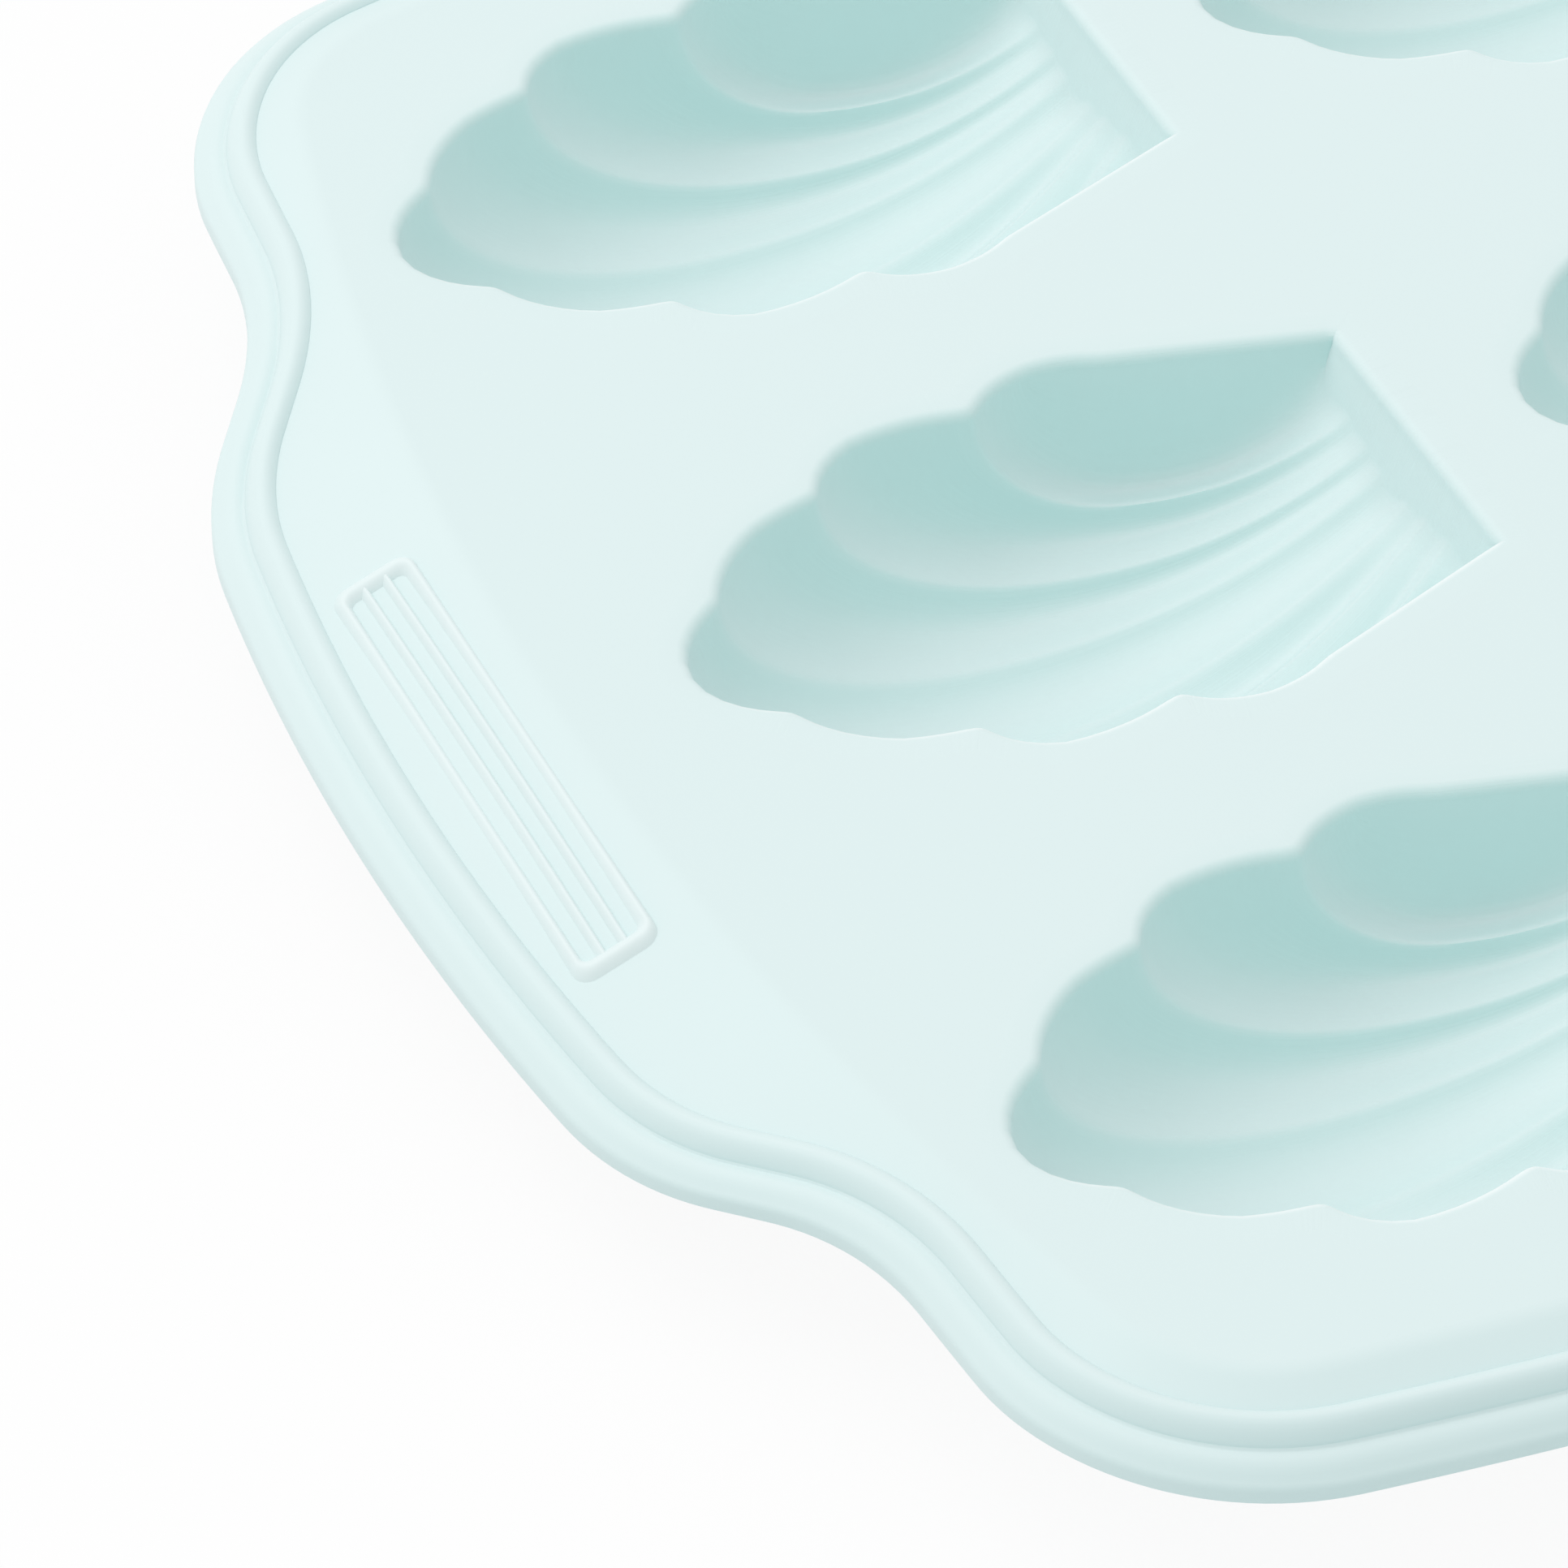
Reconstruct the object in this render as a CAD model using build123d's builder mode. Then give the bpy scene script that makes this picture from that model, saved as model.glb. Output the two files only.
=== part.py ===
"""Madeleine pan: a moulded silicone pan with nine fluted shell cups.

The pan stands on the flats under its cups, with its length along X and the
deck, the flat top face, facing +Z. The narrow ends of the cups point to +X.
The moulding is built zone by zone: deck, cups, aprons, handles, bead, flange
and grips. The zones meet face to face, and a steel hoop lies in the bead.
"""

import os
from math import cos, hypot, radians, sin, sqrt, tan

from build123d import *

os.makedirs("parts", exist_ok=True)

# Walls
deck_thickness = 2.0
cup_wall = 1.8
overrun = 1.0

# Cavity of a cup, measured at its mouth
cavity_length = 68.8
cavity_width = 44.0
cavity_depth = 17.8
end_wall_angle = 18.0
foot_flat = 0.4

# Layout of the cups
rows = 3
columns = 3
row_gap = 14.0
column_gap = 10.2
row_pitch = cavity_width + row_gap
column_pitch = cavity_length + column_gap

# Deck: the flat top, a rectangle with bowed sides, with a margin past the cups
deck_end_margin = 11.7
deck_side_margin = 16.0
deck_end_bow = 282.0
deck_side_bow = 650.0
deck_corner = 15.0
deck_length = (columns - 1) * column_pitch + cavity_length + 2 * deck_end_margin
deck_width = (rows - 1) * row_pitch + cavity_width + 2 * deck_side_margin

# Rim section: apron slope, bead and flange
apron_angle = 20.5
apron_width = 3.7
bead_width = 2.7
bead_height = 0.7
bead_crown_share = 0.38
bead_shoulder_share = 0.82
bead_shoulder_drop = 0.25
bead_drop = 1.25
flange_width = 2.9
flange_swell = 0.45
flange_wall = 1.5
edge_drop = 0.8
rim_width = bead_width + flange_width

# Outer edge of the rim: a bowed body round the deck, with a handle at each end
body_end_margin = 3.9
body_end_bow = 650.0
body_side_bow = 620.0
body_corner = 26.0
body_length = deck_length + 2 * body_end_margin
body_width = deck_width + 2 * (apron_width + rim_width)
handle_reach = 14.0
handle_bow = 244.0
handle_root_inset = 50.3
handle_side_angle = 38.5
handle_side_land = 7.0
shoulder_radius = 30.0
shoulder_room_share = 0.53
notch_radius = 28.0
notch_room_share = 0.60
pan_length = body_length + 2 * handle_reach
handle_root_width = body_width - 2 * handle_root_inset
handle_width = handle_root_width + 2 * handle_side_land

# Steel hoop in the bead
hoop_diameter = 1.5
hoop_place_share = 0.46
hoop_depth = 0.85

# Grip: a frame of low bars on each handle
grip_width = 6.9
grip_length = 48.8
grip_height = 0.8
grip_outer_bar = 1.15
grip_inner_bar = 0.75
grip_end_bar = 1.5
grip_corner = 1.6

# Height of the deck's top face over the bench
deck_top = cavity_depth + cup_wall - foot_flat

# Mouth outline, half of it: shares of the cavity's length and width from the
# cup's centre. Each row is an arc's start, a point on it and its end.
mouth_arc_shares = [
    ((-0.415, 0.166), (-0.369, 0.264), (-0.318, 0.317)),
    ((-0.318, 0.317), (-0.272, 0.338), (-0.222, 0.351)),
    ((-0.222, 0.351), (-0.193, 0.416), (-0.145, 0.456)),
    ((-0.145, 0.456), (-0.073, 0.461), (0.019, 0.431)),
    ((0.019, 0.431), (0.065, 0.482), (0.121, 0.500)),
    ((0.121, 0.500), (0.167, 0.491), (0.211, 0.465)),
]
mouth_tip_share = -0.5
mouth_end_share = (0.5, 0.330)

# Ridges between the flutes, from the middle outwards. Each runs straight from
# the end wall to a cusp of the mouth: start and cusp as shares of length and
# width, then its depth at the start, its greatest depth as shares of the
# cavity's depth, and how far along it is deepest.
ridge_shares = [
    ((0.5, 0.056), (-0.415, 0.166), 0.325, 0.927, 0.55),
    ((0.5, 0.122), (-0.222, 0.351), 0.290, 0.837, 0.54),
    ((0.5, 0.200), (0.019, 0.431), 0.262, 0.702, 0.64),
]
# Outer side of the outermost flute, along the straight side of the mouth
side_rail_shares = ((0.5, 0.345), (0.019, 0.560))

# Bottoms of the flutes, from the middle outwards: depth at the end wall,
# greatest depth, how far along that is, and where the bottom would surface.
flute_shares = [
    (0.382, 1.000, 0.55, 1.12),
    (0.331, 0.949, 0.545, 1.10),
    (0.298, 0.843, 0.58, 1.17),
    (0.281, 0.747, 0.62, 1.06),
]
flute_fullness_share = 0.72
floor_power = 2.3

# Stations of the flutes' sections, as shares of the ridges' length, and past
# the cusps as shares of the way to where the bottom surfaces
ridge_station_shares = (-0.05, 0.04, 0.14, 0.26, 0.40, 0.55, 0.70, 0.82, 0.91, 0.965, 0.992)
tip_station_shares = (0.15, 0.55, 0.9)

# Stations of the rim's sections along a quarter of its outer edge
rim_station_shares = (
    0.0, 0.07, 0.14, 0.155, 0.17, 0.185, 0.20, 0.215, 0.23, 0.25,
    0.265, 0.28, 0.295, 0.31, 0.325, 0.345, 0.36, 0.38, 0.40, 0.42,
    0.44, 0.46, 0.48, 0.50, 0.52, 0.58, 0.65, 0.72, 0.79, 0.86, 0.93, 1.0,
)  # fmt: skip


def level(drop):
    """Height over the bench of a point that lies drop below the deck's top."""
    return deck_top - drop


def cup_places():
    """Name and centre of each cup, row by row from the front."""
    row_names = ("front", "middle", "back")
    column_names = ("left", "centre", "right")
    for row in range(rows):
        for column in range(columns):
            x = (column - (columns - 1) / 2) * column_pitch
            y = (row - (rows - 1) / 2) * row_pitch
            yield f"cup_{row_names[row]}_{column_names[column]}", x, y


def bowed_rectangle(length, width, end_bow, side_bow):
    """Rectangle whose four sides are shallow arcs, cut from four discs."""
    end_offset = end_bow - length / 2
    side_offset = side_bow - width / 2
    with Locations((-end_offset, 0)):
        Circle(end_bow)
    with Locations((end_offset, 0)):
        Circle(end_bow, mode=Mode.INTERSECT)
    with Locations((0, -side_offset)):
        Circle(side_bow, mode=Mode.INTERSECT)
    with Locations((0, side_offset)):
        Circle(side_bow, mode=Mode.INTERSECT)


# Outlines of the deck and the rim

with BuildSketch() as deck_outline:
    bowed_rectangle(deck_length, deck_width, deck_end_bow, deck_side_bow)
    fillet(deck_outline.vertices(), deck_corner)

handle_slant = handle_reach / tan(radians(handle_side_angle))

with BuildSketch() as handle_outline:
    with BuildLine():
        Polyline(
            (body_length / 2 - handle_reach, handle_root_width / 2 + handle_slant),
            (body_length / 2 + 2 * handle_reach, handle_root_width / 2 - 2 * handle_slant),
            (body_length / 2 + 2 * handle_reach, -handle_root_width / 2 + 2 * handle_slant),
            (body_length / 2 - handle_reach, -handle_root_width / 2 - handle_slant),
            (0, -handle_root_width / 2 - handle_slant),
            (0, handle_root_width / 2 + handle_slant),
            close=True,
        )
    make_face()
    with Locations((pan_length / 2 - handle_bow, 0)):
        Circle(handle_bow, mode=Mode.INTERSECT)
    mirror(about=Plane.YZ)


def apart(one, other):
    """Distance in plan between two vertices, each mirrored into one quarter."""
    return hypot(abs(one.X) - abs(other.X), abs(one.Y) - abs(other.Y))


def blend_radius(radius, room):
    """Radius of a blend beside a handle, limited by the room along its sides."""
    return min(radius, room / tan(radians(handle_side_angle / 2)))


with BuildSketch() as edge_outline:
    bowed_rectangle(body_length, body_width, body_end_bow, body_side_bow)
    fillet(edge_outline.vertices(), body_corner)
    corner_start = edge_outline.vertices().sort_by(Axis.X)[-1]
    add(handle_outline.sketch)
    outer_x = body_length / 2
    notch_y = handle_root_width / 2
    shoulders = edge_outline.vertices().filter_by(lambda v: abs(v.X) > outer_x)
    notches = edge_outline.vertices().filter_by(
        lambda v: abs(v.X) > outer_x - handle_reach / 2 and notch_y < abs(v.Y) < notch_y + handle_slant / 2
    )
    side_length = apart(shoulders[0], notches[0])
    notch_room = min(side_length * notch_room_share, apart(notches[0], corner_start))
    fillet(shoulders, blend_radius(shoulder_radius, side_length * shoulder_room_share))
    notches = edge_outline.vertices().filter_by(
        lambda v: abs(v.X) > outer_x - handle_reach / 2 and notch_y < abs(v.Y) < notch_y + handle_slant / 2
    )
    fillet(notches, blend_radius(notch_radius, notch_room))

deck_rim = deck_outline.face().outer_wire()


def from_deck(x, y):
    """Distance in plan from a point outside the deck to the deck's outline."""
    return deck_rim.distance_to(Vertex(x, y, 0))


# Slope: a slab of the moulding's thickness that is flat over the deck and falls
# away evenly all round it. Deck, aprons and handles are cut from it.
slope_reach = pan_length / 2 - deck_length / 2 + overrun
slope_rate = tan(radians(apron_angle))


def slope_body(lift):
    """Solid under the sloping top face, raised by lift."""
    with BuildPart() as body:
        with BuildSketch(Plane.XY.offset(level(-lift))):
            add(deck_outline.sketch)
        with BuildSketch(Plane.XY.offset(level(slope_reach * slope_rate - lift))):
            offset(deck_outline.sketch, slope_reach)
        loft(ruled=True)
    return body.part


with BuildPart() as slab:
    add(slope_body(0))
    add(slope_body(-deck_thickness), mode=Mode.SUBTRACT)


def prism(outline):
    """Upright prism of an outline, from the bench to above the deck."""
    with BuildPart() as body:
        with BuildSketch():
            add(outline)
        extrude(amount=deck_top + overrun)
    return body.part


# Rim: the bead and the flange are lofted through sections set square to the
# outer edge. They share the upright face under the groove between them.
edge_wire = edge_outline.face().outer_wire()
first_place = edge_wire.param_at_point(Vector(pan_length / 2, 0, 0))
turn = 1 if edge_wire.position_at((first_place + rim_station_shares[1]) % 1).Y > 0 else -1


def rim_plane(share):
    """Upright plane square to the outer edge, with x outwards and y up."""
    place = (first_place + turn * share / 4) % 1
    point = edge_wire.position_at(place)
    along = edge_wire.tangent_at(place) * turn
    outward = Vector(along.Y, -along.X, 0)
    return Plane(origin=(point.X, point.Y, 0), x_dir=outward, z_dir=outward.cross(Vector(0, 0, 1)))


def foot_point(plane):
    """Plan point of the foot of the bead at a station."""
    foot = plane.from_local_coords((-rim_width, 0, 0))
    return foot.X, foot.Y


def foot_height(plane):
    """Height of the foot of the bead at a station."""
    return level(slope_rate * from_deck(*foot_point(plane)))


def bead_section(plane):
    """Section of the bead: a low crown, then a drop into the groove."""
    foot = foot_height(plane)
    groove = foot - bead_drop
    crown = (-rim_width + bead_width * bead_crown_share, foot + bead_height)
    shoulder = (-rim_width + bead_width * bead_shoulder_share, foot - bead_shoulder_drop)
    with BuildSketch(plane) as section:
        with BuildLine():
            ThreePointArc((-rim_width, foot), crown, shoulder)
            Polyline(
                shoulder,
                (-flange_width, groove),
                (-flange_width, groove - flange_wall),
                (-rim_width, foot - deck_thickness),
                (-rim_width, foot),
            )
        make_face()
    return section.sketch


def flange_section(plane):
    """Section of the flange: a drooping band with a swelling top."""
    groove = foot_height(plane) - bead_drop
    edge = level(edge_drop + slope_rate * from_deck(plane.origin.X, plane.origin.Y))
    swell = (-flange_width / 2, (groove + edge) / 2 + flange_swell)
    with BuildSketch(plane) as section:
        with BuildLine():
            ThreePointArc((-flange_width, groove), swell, (0, edge))
            Polyline(
                (0, edge),
                (0, edge - flange_wall),
                (-flange_width, groove - flange_wall),
                (-flange_width, groove),
            )
        make_face()
    return section.sketch


def hoop_section(plane):
    """Round section of the steel hoop, well inside the bead."""
    with BuildSketch(plane) as section:
        with Locations((-rim_width + bead_width * hoop_place_share, foot_height(plane) - hoop_depth)):
            Circle(hoop_diameter / 2)
    return section.sketch


def ring(section):
    """Closed ring: a quarter lofted through the stations, then mirrored twice."""
    with BuildPart() as body:
        loft([section(plane) for plane in rim_planes], ruled=True)
        mirror(about=Plane.XZ)
        mirror(about=Plane.YZ)
    return body.part


rim_planes = [rim_plane(share) for share in rim_station_shares]

with BuildPart() as rim_hoop:
    add(ring(hoop_section))

with BuildPart() as rim_bead:
    add(ring(bead_section))
    add(rim_hoop.part, mode=Mode.SUBTRACT)

with BuildPart() as rim_flange:
    add(ring(flange_section))

with BuildSketch() as foot_outline:
    with BuildLine():
        Polyline(*[foot_point(plane) for plane in rim_planes])
        mirror(about=Plane.XZ)
        mirror(about=Plane.YZ)
    make_face()

foot_prism = prism(foot_outline.sketch)
deck_prism = prism(deck_outline.sketch)


# Handles and aprons: what the slope leaves between the deck and the bead
def slope_zone(x, y, length, width):
    """Part of the slope round the deck inside a rectangle centred on (x, y)."""
    with BuildPart() as zone:
        with BuildSketch():
            with Locations((x, y)):
                Rectangle(length, width)
        extrude(amount=deck_top + overrun)
        add(slab.part, mode=Mode.INTERSECT)
        add(foot_prism, mode=Mode.INTERSECT)
        add(deck_prism, mode=Mode.SUBTRACT)
    return zone


handle_left = slope_zone(-pan_length / 4, 0, pan_length / 2, handle_width)
handle_right = slope_zone(pan_length / 4, 0, pan_length / 2, handle_width)
apron_front = slope_zone(0, -(pan_length + handle_width) / 2, pan_length, pan_length)
apron_back = slope_zone(0, (pan_length + handle_width) / 2, pan_length, pan_length)


# Grips: low bars that stand on the slope of each handle
channel_width = (grip_width - 2 * grip_outer_bar - 2 * grip_inner_bar) / 3
grip_x = (deck_length / 2 + pan_length / 2 - rim_width) / 2


def grip(x):
    """Frame of bars centred at x, of even height over the slope."""
    with BuildPart() as bars:
        with BuildSketch():
            with Locations((x, 0)):
                RectangleRounded(grip_width, grip_length, grip_corner)
            with Locations((x, 0)):
                with GridLocations(channel_width + grip_inner_bar, 0, 3, 1):
                    Rectangle(channel_width, grip_length - 2 * grip_end_bar, mode=Mode.SUBTRACT)
        extrude(amount=deck_top + overrun)
        add(slope_body(grip_height), mode=Mode.INTERSECT)
        add(slope_body(0), mode=Mode.SUBTRACT)
    return bars


grip_left = grip(-grip_x)
grip_right = grip(grip_x)


# Cups: the cavity is seven flutes that fan out from the narrow end, cut off by
# the scalloped mouth and the leaning end wall. The outside follows it.
def along_rail(rail, share):
    """Point in plan at a share of the way along a rail, from the end wall."""
    (x0, y0), (x1, y1) = rail
    return cavity_length * (x0 + (x1 - x0) * share), cavity_width * (y0 + (y1 - y0) * share)


def floor_drop(share, start, deepest, low, surface):
    """Depth of a ridge or of a flute's bottom at a share of the way along it."""
    if share >= surface:
        return 0
    if share > low:
        return cavity_depth * deepest * sqrt(1 - ((share - low) / (surface - low)) ** 2)
    rise = (deepest - start) * ((low - share) / low) ** floor_power
    return cavity_depth * (deepest - rise)


def ridge_line(index, share, wall):
    """Plan point and height of ridge index, counted outwards from 1; the
    mirrored ridges are negative, and 4 is the side of the mouth."""
    side = 1 if index > 0 else -1
    if abs(index) > len(ridge_shares):
        x, y = along_rail(side_rail_shares, share)
        return x, side * (y + wall), level(wall)
    start_place, cusp, start, deepest, low = ridge_shares[abs(index) - 1]
    x, y = along_rail((start_place, cusp), share)
    drop = floor_drop(share, start, deepest, low, 1 + wall / cavity_length)
    return x, side * y, level(drop + wall)


def flute_section(flute, share, wall, top):
    """Upright section of a flute between its two ridges."""
    upper = flute + 1 if flute >= 0 else flute
    lower = flute if flute > 0 else flute - 1
    xa, ya, za = ridge_line(lower, share, wall)
    xb, yb, zb = ridge_line(upper, share, wall)
    start, deepest, low, surface = flute_shares[abs(flute)]
    zc = level(floor_drop(share, start, deepest, low, surface + wall / cavity_length) + wall)
    across = Vector(xb - xa, yb - ya, 0)
    half = across.length / 2
    full = half * flute_fullness_share
    middle = ((xa + xb) / 2, (ya + yb) / 2, 0)
    plane = Plane(origin=middle, x_dir=across, z_dir=across.cross(Vector(0, 0, 1)))
    with BuildSketch(plane) as section:
        with BuildLine():
            Bezier((-half, za), (-full, zc), (0, zc))
            Bezier((0, zc), (full, zc), (half, zb))
            Polyline((half, zb), (half, top), (-half, top), (-half, za))
        make_face()
    return section.sketch


def flute_body(flute, wall, top):
    """One flute, lofted from the end wall to the tip of its lobe."""
    surface = flute_shares[abs(flute)][3] + wall / cavity_length
    tips = [1 + (surface - 1) * share for share in tip_station_shares]
    stations = list(ridge_station_shares) + tips
    with BuildPart() as body:
        loft([flute_section(flute, share, wall, top) for share in stations], ruled=True)
    return body.part


def shell_body(outline, wall, top):
    """All flutes together, cut off by the mouth's outline and the end wall."""
    end_x = cavity_length / 2 + wall / cos(radians(end_wall_angle))
    lean = Vector(cos(radians(end_wall_angle)), 0, -sin(radians(end_wall_angle)))
    with BuildPart() as body:
        for flute in range(-len(ridge_shares), len(ridge_shares) + 1):
            add(flute_body(flute, wall, top))
        add(prism(outline), mode=Mode.INTERSECT)
        split(bisect_by=Plane(origin=(end_x, 0, deck_top), z_dir=lean), keep=Keep.BOTTOM)
    return body.part


with BuildSketch() as mouth_outline:
    with BuildLine():
        for arc in mouth_arc_shares:
            ThreePointArc(*[(x * cavity_length, y * cavity_width) for x, y in arc])
        last_x, last_y = mouth_arc_shares[-1][-1]
        end_share_x, end_share_y = mouth_end_share
        Polyline(
            (last_x * cavity_length, last_y * cavity_width),
            (end_share_x * cavity_length, end_share_y * cavity_width),
            (end_share_x * cavity_length, 0),
        )
        mirror(about=Plane.XZ)
        cusp_x, cusp_y = mouth_arc_shares[0][0]
        ThreePointArc(
            (cusp_x * cavity_length, -cusp_y * cavity_width),
            (mouth_tip_share * cavity_length, 0),
            (cusp_x * cavity_length, cusp_y * cavity_width),
        )
    make_face()

with BuildSketch() as collar_outline:
    offset(mouth_outline.sketch, cup_wall, kind=Kind.INTERSECTION)

cavity = shell_body(mouth_outline.sketch, 0, level(-overrun))
outside = shell_body(collar_outline.sketch, cup_wall, level(0))

with BuildPart() as cup_form:
    add(outside)
    with BuildSketch(Plane.XY.offset(deck_top)):
        add(collar_outline.sketch)
    extrude(amount=-deck_thickness)
    split(bisect_by=Plane.XY, keep=Keep.TOP)
    add(cavity, mode=Mode.SUBTRACT)

with BuildPart() as deck:
    add(slab.part)
    add(deck_prism, mode=Mode.INTERSECT)
    with BuildSketch():
        for name, x, y in cup_places():
            with Locations((x, y)):
                add(collar_outline.sketch)
    extrude(amount=deck_top + overrun, mode=Mode.SUBTRACT)

sub_parts = {
    "deck": deck.part,
    "apron_front": apron_front.part,
    "apron_back": apron_back.part,
    "handle_left": handle_left.part,
    "handle_right": handle_right.part,
    "rim_bead": rim_bead.part,
    "rim_hoop": rim_hoop.part,
    "rim_flange": rim_flange.part,
    "grip_left": grip_left.part,
    "grip_right": grip_right.part,
}
for name, x, y in cup_places():
    sub_parts[name] = cup_form.part.moved(Location((x, y, 0)))

for name, shape in sub_parts.items():
    shape.label = name
    export_step(shape, f"parts/{name}.step")
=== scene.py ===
"""Looks of a flexible silicone madeleine pan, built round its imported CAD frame."""

import math

import bpy
import numpy as np
from mathutils import Matrix


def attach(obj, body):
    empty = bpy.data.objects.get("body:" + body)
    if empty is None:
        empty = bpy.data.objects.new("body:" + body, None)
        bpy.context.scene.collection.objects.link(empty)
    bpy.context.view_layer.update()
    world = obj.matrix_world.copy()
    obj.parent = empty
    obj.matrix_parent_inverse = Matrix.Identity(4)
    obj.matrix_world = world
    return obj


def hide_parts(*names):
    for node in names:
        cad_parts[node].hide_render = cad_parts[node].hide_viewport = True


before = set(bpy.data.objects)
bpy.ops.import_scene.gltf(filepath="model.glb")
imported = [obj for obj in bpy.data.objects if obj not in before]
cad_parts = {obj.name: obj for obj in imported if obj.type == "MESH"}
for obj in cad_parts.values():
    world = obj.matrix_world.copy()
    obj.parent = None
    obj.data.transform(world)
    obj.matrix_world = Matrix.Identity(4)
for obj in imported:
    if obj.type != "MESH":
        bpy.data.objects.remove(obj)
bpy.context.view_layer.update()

# Cups: nine shell-shaped hollows of the silicone moulding, in three rows. Each
# has seven flutes that fan out from a leaning end wall to a scalloped mouth,
# and its edge rolls over into the deck. The skin below follows the one above.
MM = 0.001
deck_height = 19.2
cup_size = np.array([68.8, 44.0])
cup_depth = 17.8
column_pitch = 79.0
row_pitch = 58.0
deck_wall = 2.0
cup_wall = 1.8
lip_radius = 1.1
root_radius = 0.8
end_wall_slope = math.tan(math.radians(18.0))

# half of the mouth: each row is an arc's start, middle and end, as shares of
# the cup's length and width
mouth_arcs = (
    ((-0.415, 0.166), (-0.369, 0.264), (-0.318, 0.317)),
    ((-0.318, 0.317), (-0.272, 0.338), (-0.222, 0.351)),
    ((-0.222, 0.351), (-0.193, 0.416), (-0.145, 0.456)),
    ((-0.145, 0.456), (-0.073, 0.461), (0.019, 0.431)),
    ((0.019, 0.431), (0.065, 0.482), (0.121, 0.500)),
    ((0.121, 0.500), (0.167, 0.491), (0.211, 0.465)),
)
tip_share = -0.5
corner_share = (0.5, 0.330)

# ridges and flutes from the middle outwards, as shares: a ridge's place on the
# end wall, then the depth there, the greatest depth and where that is
ridge_rows = ((0.056, 0.325, 0.927, 0.55), (0.122, 0.290, 0.837, 0.54), (0.200, 0.262, 0.702, 0.60))
flute_rows = ((0.382, 1.000, 0.53), (0.331, 0.949, 0.53), (0.298, 0.843, 0.54), (0.281, 0.747, 0.58))

# shape of a flute across and along, and how far its edges are rounded
flute_round = 0.93
bed_share = 0.52
bed_bend = 2.3
ridge_turn = math.radians(80)
ridge_round = 0.9
crest_shares = (0.05, 0.6)
no_crest = 1e-6
cusp_round = 0.9
edge_reach = 0.9

flute_cells = 14
wall_rows = 6
bed_rows = 14
rise_rows = 16
roll_rows = 6
merge_reach = 0.002 * MM


def arc(start, middle, end, count=24):
    """Points of the circle arc through three points."""
    (ax, ay), (bx, by), (cx, cy) = start, middle, end
    d = 2 * (ax * (by - cy) + bx * (cy - ay) + cx * (ay - by))
    a2, b2, c2 = ax * ax + ay * ay, bx * bx + by * by, cx * cx + cy * cy
    ux = (a2 * (by - cy) + b2 * (cy - ay) + c2 * (ay - by)) / d
    uy = (a2 * (cx - bx) + b2 * (ax - cx) + c2 * (bx - ax)) / d
    angles = np.unwrap([math.atan2(y - uy, x - ux) for x, y in (start, middle, end)])
    angle = np.linspace(angles[0], angles[2], count)
    radius = math.hypot(ax - ux, ay - uy)
    return np.stack([ux + radius * np.cos(angle), uy + radius * np.sin(angle)], 1)


def run_along(line, shares):
    """Points at shares of a polyline's length."""
    steps = np.hypot(*np.diff(line, axis=0).T)
    place = np.concatenate([[0], np.cumsum(steps)]) / steps.sum()
    return np.stack([np.interp(shares, place, line[:, k]) for k in (0, 1)], 1)


def outward(loop, reach):
    """Outward unit normals of a closed loop, evened out over a reach in mm."""
    step = np.hypot(*(np.roll(loop, -1, 0) - loop).T)
    tangent = np.roll(loop, -1, 0) - np.roll(loop, 1, 0)
    normal = np.stack([tangent[:, 1], -tangent[:, 0]], 1)
    normal /= np.maximum(np.hypot(*normal.T), 1e-9)[:, None]
    place = np.concatenate([[0], np.cumsum(step)[:-1]])
    apart = np.abs(place[:, None] - place[None, :])
    apart = np.minimum(apart, step.sum() - apart)
    weight = np.exp(-((apart / reach) ** 2)) * (step + np.roll(step, 1))[None, :]
    normal = weight @ normal
    return normal / np.hypot(*normal.T)[:, None]


def across_flute():
    """Places of a flute's columns, from -1 on one ridge to 1 on the other."""
    turn = np.linspace(-1, 1, flute_cells + 1) * ridge_turn
    return np.sin(turn) / math.sin(ridge_turn)


def hollow(across, roundness, crest):
    """Share of a flute's depth below its ridges at a place across it. The arc
    turns level over the crest, the share of the half width next to the ridge."""
    start = 1 - crest
    root = np.sqrt(1 - (roundness * start) ** 2)
    fall = roundness**2 * start / root
    past = np.maximum(abs(across) - start, 0)
    arch = np.sqrt(np.maximum(1 - (roundness * across) ** 2, 0))
    arch = np.where(past > 0, root - fall * past * (1 - past / (2 * crest)), arch)
    ridge = root - fall * crest / 2
    return (arch - ridge) / (1 - ridge)


def run_depth(shares, start, deepest, low):
    """Depth along a ridge or a flute, from the end wall to the mouth."""
    bed = deepest - (deepest - start) * np.clip((low - shares) / low, 0, 1) ** bed_bend
    rise = np.sqrt(np.maximum(1 - (np.clip(shares - low, 0, 1) / (1 - low)) ** 2, 0))
    return cup_depth * np.where(shares < low, bed, deepest * rise)


def evened(line, reach):
    """Polyline whose corners are rounded over a reach in mm, ends kept."""
    step = np.hypot(*np.diff(line, axis=0).T)
    place = np.concatenate([[0], np.cumsum(step)])
    share = np.convolve(step, [0.5, 0.5])
    weight = np.exp(-(((place[:, None] - place[None, :]) / reach) ** 2)) * share[None, :]
    smooth = weight @ line / weight.sum(1)[:, None]
    hold = np.clip(np.minimum(place, place[-1] - place) / (2 * reach), 0, 1)[:, None]
    return line * (1 - hold) + smooth * hold


def cup_rows():
    """Shares of the rows along the cup, closer together near the mouth's tip."""
    bed = np.linspace(0, bed_share, bed_rows, endpoint=False)
    rise = bed_share + (1 - bed_share) * np.sin(np.linspace(0, math.pi / 2, rise_rows + 1))
    return np.concatenate([bed, rise])


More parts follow.
